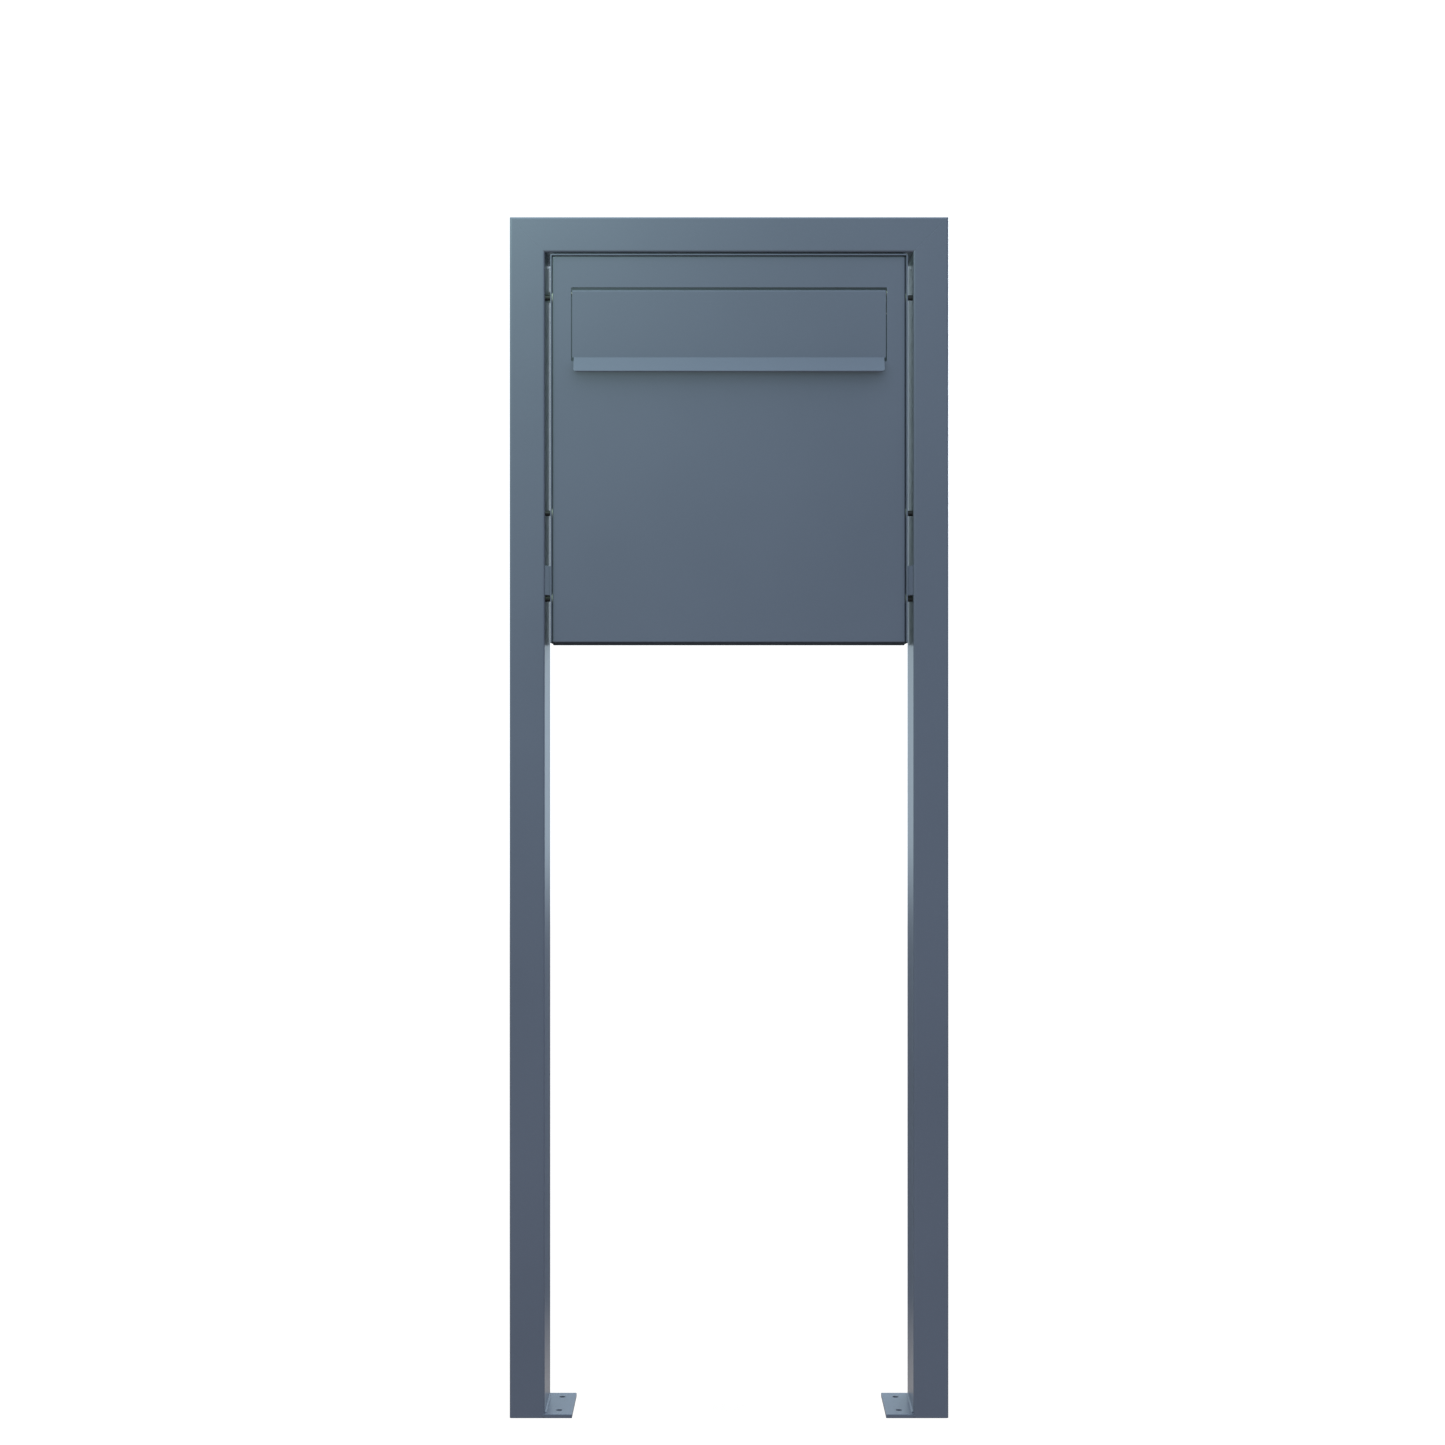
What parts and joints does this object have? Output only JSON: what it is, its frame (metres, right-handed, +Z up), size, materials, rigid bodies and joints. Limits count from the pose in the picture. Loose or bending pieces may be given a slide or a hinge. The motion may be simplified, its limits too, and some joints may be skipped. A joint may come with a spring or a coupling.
{
  "type": "free-standing letter box",
  "caption": "Steel letter box with a wide top-hinged letter flap and a lockable rear door, hung between the posts of a portal frame that bolts to the ground.",
  "frame": {"origin": "on the ground plane, at the centre of the four anchor holes", "axes": "+Z up, the front with the letter flap faces -Y, +X to the right seen from the front"},
  "size_m": [0.475, 0.1159, 1.3],
  "materials": {
    "frame_paint": "satin blue-grey powder coat",
    "casing_paint": "satin blue-grey powder coat",
    "plug_plastic": "moulded black polyethylene",
    "black_rubber": "matt",
    "black_steel": "black zinc plate",
    "black_nylon": "matt",
    "white_nylon": "natural nylon",
    "zinc_steel": "bright zinc plate",
    "stainless": "brushed",
    "lock_chrome": "satin chrome"
  },
  "bodies": {
    "stand": {"left_post": "frame_paint", "right_post": "frame_paint", "top_beam": "frame_paint", "left_base_plate": "frame_paint", "right_base_plate": "frame_paint", "left_foot_plug": "plug_plastic", "right_foot_plug": "plug_plastic", "left_hanger": "frame_paint", "right_hanger": "frame_paint", "casing_hood": "casing_paint", "front_panel": "casing_paint", "slot_frame": "casing_paint", "letter_ramp": "casing_paint", "lock_keeper": "casing_paint", "door_seal": "black_rubber", "casing_screws": "black_steel", "casing_washers": "zinc_steel", "panel_shims": "white_nylon", "gap_spacers": "black_nylon", "post_rivet_nuts": "zinc_steel", "hanger_screws": "black_steel", "flap_rod": "stainless", "flap_bushes": "white_nylon", "rod_clips": "zinc_steel", "flap_spring": "stainless", "flap_buffers": "black_rubber", "upper_post_leaf": "stainless", "lower_post_leaf": "stainless", "hinge_pins": "stainless", "post_leaf_rivets": "stainless"},
    "flap": {"flap": "casing_paint"},
    "rear_door": {"rear_door": "casing_paint", "door_stiffener": "casing_paint", "upper_door_leaf": "stainless", "lower_door_leaf": "stainless", "door_leaf_rivets": "stainless", "lock_housing": "lock_chrome", "lock_nut": "zinc_steel"},
    "lock_plug": {"lock_plug": "lock_chrome", "lock_cam": "zinc_steel", "cam_screw": "zinc_steel"}
  },
  "joints": [
    {"name": "flap_hinge", "type": "hinge", "parent": "stand", "child": "flap", "pos_m": [0, -0.04, 1.21835], "axis": [-1, 0, 0], "range_deg": [0, 75], "stiffness_Nm_per_rad": 0.05, "springref_deg": -20.05},
    {"name": "rear_door_hinge", "type": "hinge", "parent": "stand", "child": "rear_door", "pos_m": [-0.203, 0.053, 1.0495], "axis": [0, 0, 1], "range_deg": [0, 170]},
    {"name": "lock_turn", "type": "hinge", "parent": "rear_door", "child": "lock_plug", "pos_m": [0.1552, 0.04, 1.0495], "axis": [0, -1, 0], "range_deg": [0, 90]}
  ]
}
